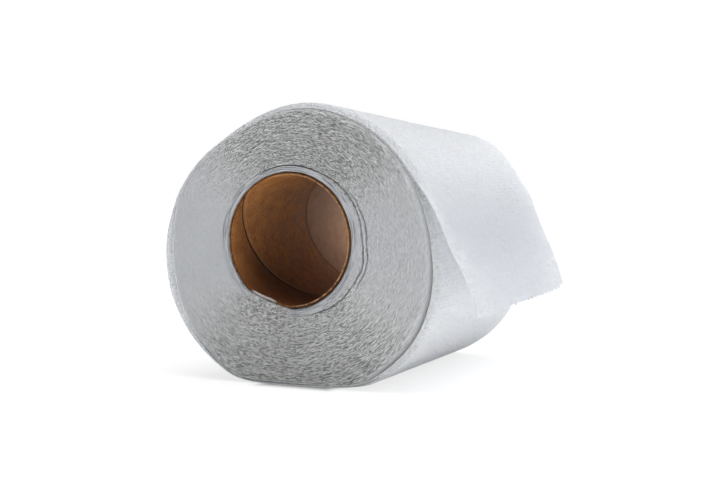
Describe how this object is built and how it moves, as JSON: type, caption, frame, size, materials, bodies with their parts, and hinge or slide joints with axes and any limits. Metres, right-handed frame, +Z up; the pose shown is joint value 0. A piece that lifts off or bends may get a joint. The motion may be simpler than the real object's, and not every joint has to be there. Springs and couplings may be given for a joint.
{
  "type": "toilet paper roll",
  "caption": "Roll of soft white bathroom tissue on a brown card core, lying on its side with its last sheet hanging free to a torn edge.",
  "frame": {"origin": "middle of the card core's axis", "axes": "+Y along the core from its dented near end to its far end, +Z up as the roll lies, +X towards the hanging sheet"},
  "size_m": [0.1155, 0.098, 0.0952],
  "materials": {
    "tissue": "matte, soft and embossed",
    "core_board": "matte kraft board"
  },
  "bodies": {
    "root": {"core_tube": "core_board", "tissue_web": "tissue"}
  },
  "joints": []
}
